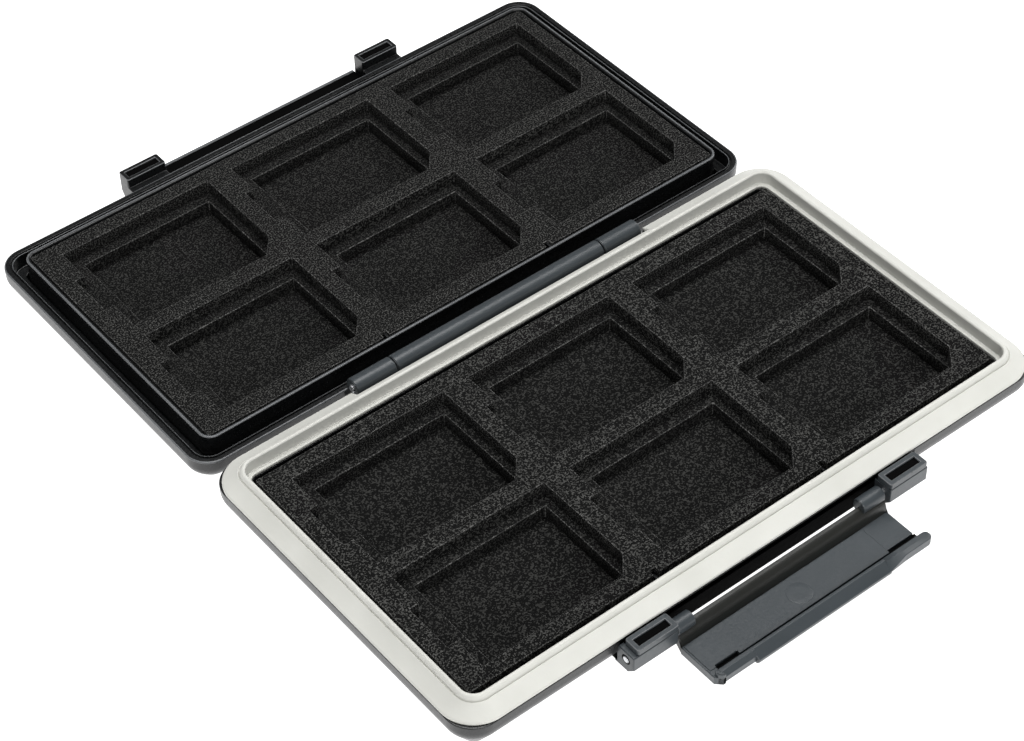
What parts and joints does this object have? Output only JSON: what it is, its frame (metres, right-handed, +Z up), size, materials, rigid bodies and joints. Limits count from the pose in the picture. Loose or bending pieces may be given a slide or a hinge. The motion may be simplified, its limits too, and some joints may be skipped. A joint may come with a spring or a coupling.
{
  "type": "memory card case",
  "caption": "Slim hinged card case, open flat: foam pockets in base and lid, off-white rim seal, slotted lugs and a snap latch on stub pins.",
  "frame": {"origin": "centre of the base's flat underside", "axes": "+X along the hinge, +Y from the base to the lid as it lies open, +Z up"},
  "size_m": [0.131, 0.1675, 0.0119],
  "materials": {
    "case_plastic": "satin charcoal moulded plastic",
    "seal_rubber": "smooth off-white rubber",
    "foam": "fine-celled black foam",
    "pin_steel": "plain steel pin"
  },
  "bodies": {
    "base": {"base_shell": "case_plastic", "base_seal": "seal_rubber", "base_foam_floor": "foam", "base_foam_middle": "foam", "base_foam_top": "foam", "hinge_pin": "pin_steel", "latch_pin_left": "pin_steel", "latch_pin_right": "pin_steel"},
    "lid": {"lid_shell": "case_plastic", "lid_foam_floor": "foam", "lid_foam_middle": "foam", "lid_foam_top": "foam"},
    "latch": {"latch": "case_plastic"}
  },
  "joints": [
    {"name": "lid_hinge", "type": "hinge", "parent": "base", "child": "lid", "pos_m": [0, 0.03774, 0.00905], "axis": [1, 0, 0], "range_deg": [0, 180]},
    {"name": "latch_hinge", "type": "hinge", "parent": "base", "child": "latch", "pos_m": [0, -0.0387, 0.0059], "axis": [-1, 0, 0], "range_deg": [0, 90]}
  ]
}
